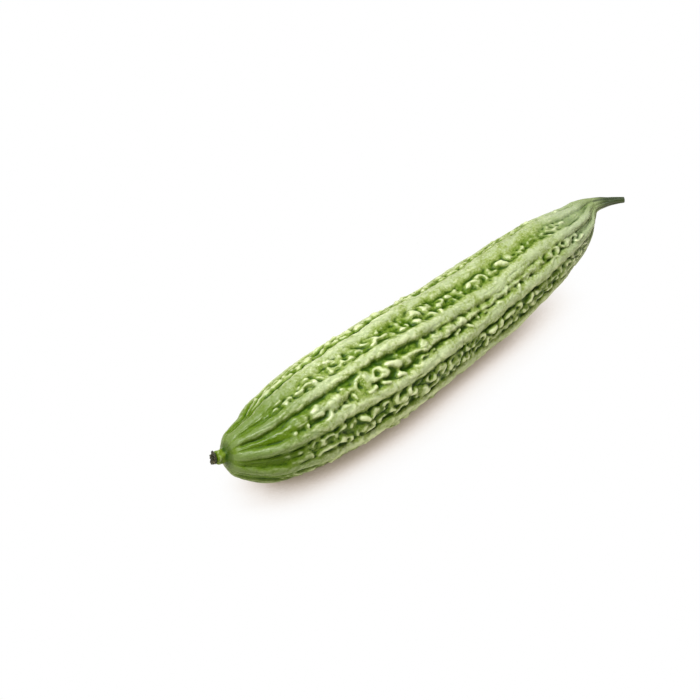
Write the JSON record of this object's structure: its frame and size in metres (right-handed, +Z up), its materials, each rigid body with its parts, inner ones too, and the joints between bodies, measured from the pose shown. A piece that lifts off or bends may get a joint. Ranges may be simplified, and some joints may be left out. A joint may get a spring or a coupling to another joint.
{
  "type": "bitter gourd",
  "caption": "Long bitter gourd lying on its side: raised ribs, warty furrows between them, a small beak with dried flower, and a cut curving stalk.",
  "frame": {"origin": "on the surface that the gourd lies on, under the middle of its box", "axes": "+X along the gourd from the blossom end to the stalk, +Z up as it lies"},
  "size_m": [0.2934, 0.0538, 0.0517],
  "materials": {
    "fruit_skin": "waxy living skin, pale along the ribs, dark green in the creases",
    "stalk_skin": "finely ridged green stem, satin",
    "dried_flower": "dry, papery and dull"
  },
  "bodies": {
    "root": {"fruit": "fruit_skin", "stalk": "stalk_skin", "flower_scrap": "dried_flower"}
  },
  "joints": []
}
